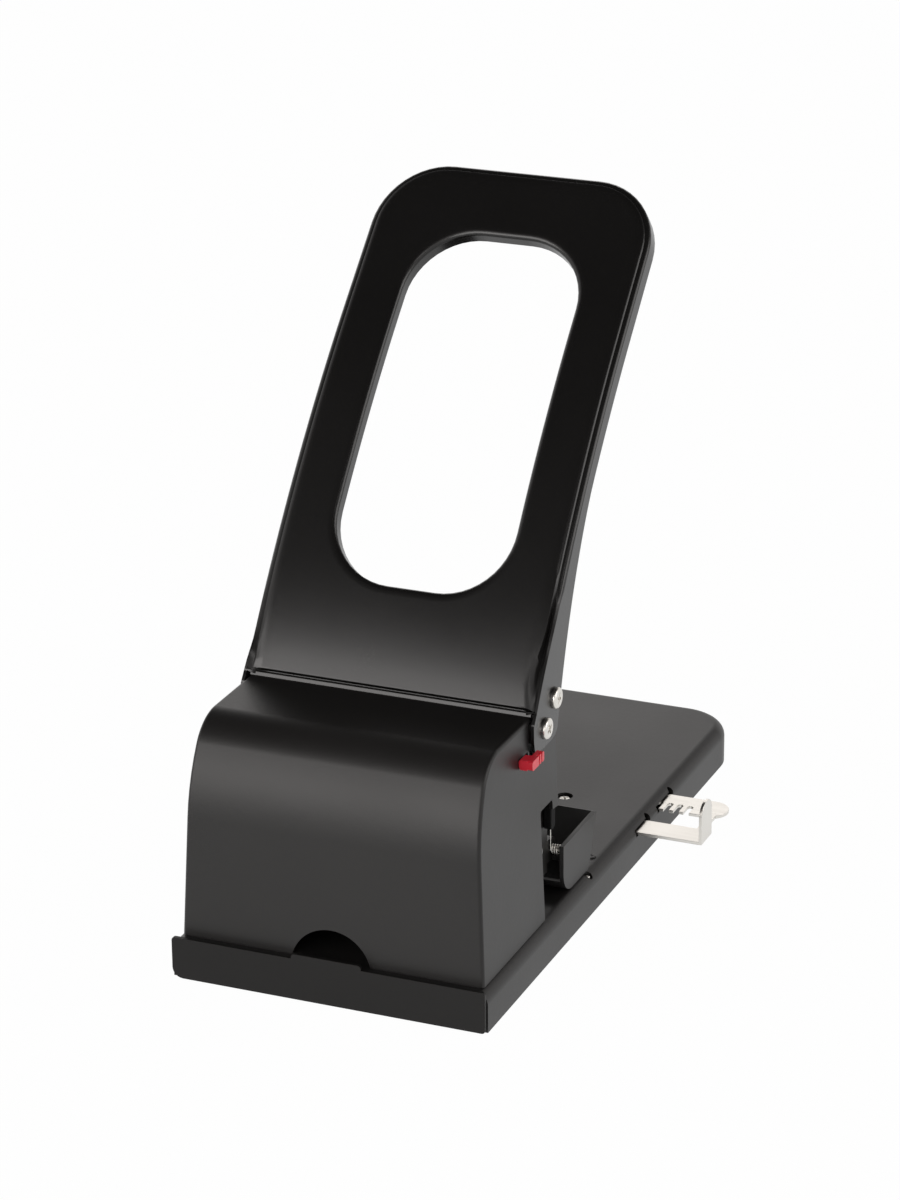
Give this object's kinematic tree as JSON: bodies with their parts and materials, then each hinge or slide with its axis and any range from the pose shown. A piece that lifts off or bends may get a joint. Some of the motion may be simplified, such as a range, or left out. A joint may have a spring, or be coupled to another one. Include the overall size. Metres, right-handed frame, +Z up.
{
  "type": "heavy duty hole punch",
  "caption": "Heavy duty desk hole punch with a long open lever, a sprung paper presser, a slide-out paper guide, a lever lock and a chip tray.",
  "frame": {"origin": "on the desk, under the middle of the base's length and width", "axes": "+Z up, +Y towards the side that the paper comes in from, +X towards the paper guide"},
  "size_m": [0.1523, 0.28, 0.2641],
  "materials": {
    "painted_steel": "satin black paint with a fine grain",
    "lever_paint": "semi-gloss black paint",
    "black_plastic": "satin black",
    "nickel": "bright nickel",
    "steel": "plain",
    "red_plastic": "gloss red",
    "foot_rubber": "matt black"
  },
  "bodies": {
    "base": {"base_shell": "painted_steel", "bottom_plate": "painted_steel", "rubber_feet": "foot_rubber", "spacer_posts": "steel", "post_screws": "nickel", "cover_shell": "painted_steel", "front_plate": "painted_steel", "side_plate_left": "painted_steel", "side_plate_right": "painted_steel", "plate_bolts": "steel", "guide_block": "steel", "block_screws": "steel", "back_stop": "steel", "die_plate": "steel", "die_rivets": "steel", "pivot_shaft": "steel", "pivot_bushes": "steel", "pivot_screws": "nickel", "hinge_pin": "nickel", "presser_spring_left": "nickel", "presser_spring_right": "nickel", "return_spring_left": "nickel", "return_spring_right": "nickel", "guide_keeper": "steel", "guide_screws": "nickel", "guide_detent": "nickel"},
    "lever": {"lever_frame": "lever_paint", "handle_face": "lever_paint", "drive_shaft": "steel", "drive_screws": "nickel"},
    "punches": {"punch_bar": "steel", "punch_pin_left": "nickel", "punch_pin_right": "nickel"},
    "presser": {"presser_flap": "black_plastic"},
    "lock": {"lock_knob": "red_plastic", "lock_bolt": "steel"},
    "tray": {"chip_tray": "black_plastic", "tray_front": "painted_steel"},
    "guide": {"paper_guide": "nickel"}
  },
  "joints": [
    {"name": "lever_press", "type": "hinge", "parent": "base", "child": "lever", "pos_m": [0, -0.07146, 0.094], "axis": [-1, 0, 0], "range_deg": [0, 58], "stiffness_Nm_per_rad": 0.5, "springref_deg": -57.3, "deforming": ["return_spring_left", "return_spring_right"]},
    {"name": "punch_stroke", "type": "slide", "parent": "base", "child": "punches", "axis": [0, 0, -1], "range_m": [0, 0.01225], "deforming": ["return_spring_left", "return_spring_right"]},
    {"name": "presser_lift", "type": "hinge", "parent": "base", "child": "presser", "pos_m": [0, -0.052, 0.0363], "axis": [1, 0, 0], "range_deg": [0, 32], "stiffness_Nm_per_rad": 0.03, "springref_deg": -34.38, "deforming": ["presser_spring_left", "presser_spring_right"]},
    {"name": "lock_slide", "type": "slide", "parent": "base", "child": "lock", "axis": [0, 1, 0], "range_m": [0, 0.0045]},
    {"name": "guide_slide", "type": "slide", "parent": "base", "child": "guide", "axis": [1, 0, 0], "range_m": [-0.017, 0.05]},
    {"name": "tray_pull", "type": "slide", "parent": "base", "child": "tray", "axis": [0, -1, 0], "range_m": [0, 0.1]}
  ],
  "couplings": [
    {"joint": "punch_stroke", "follows": "lever_press", "m_per_rad": 0.011993}
  ]
}
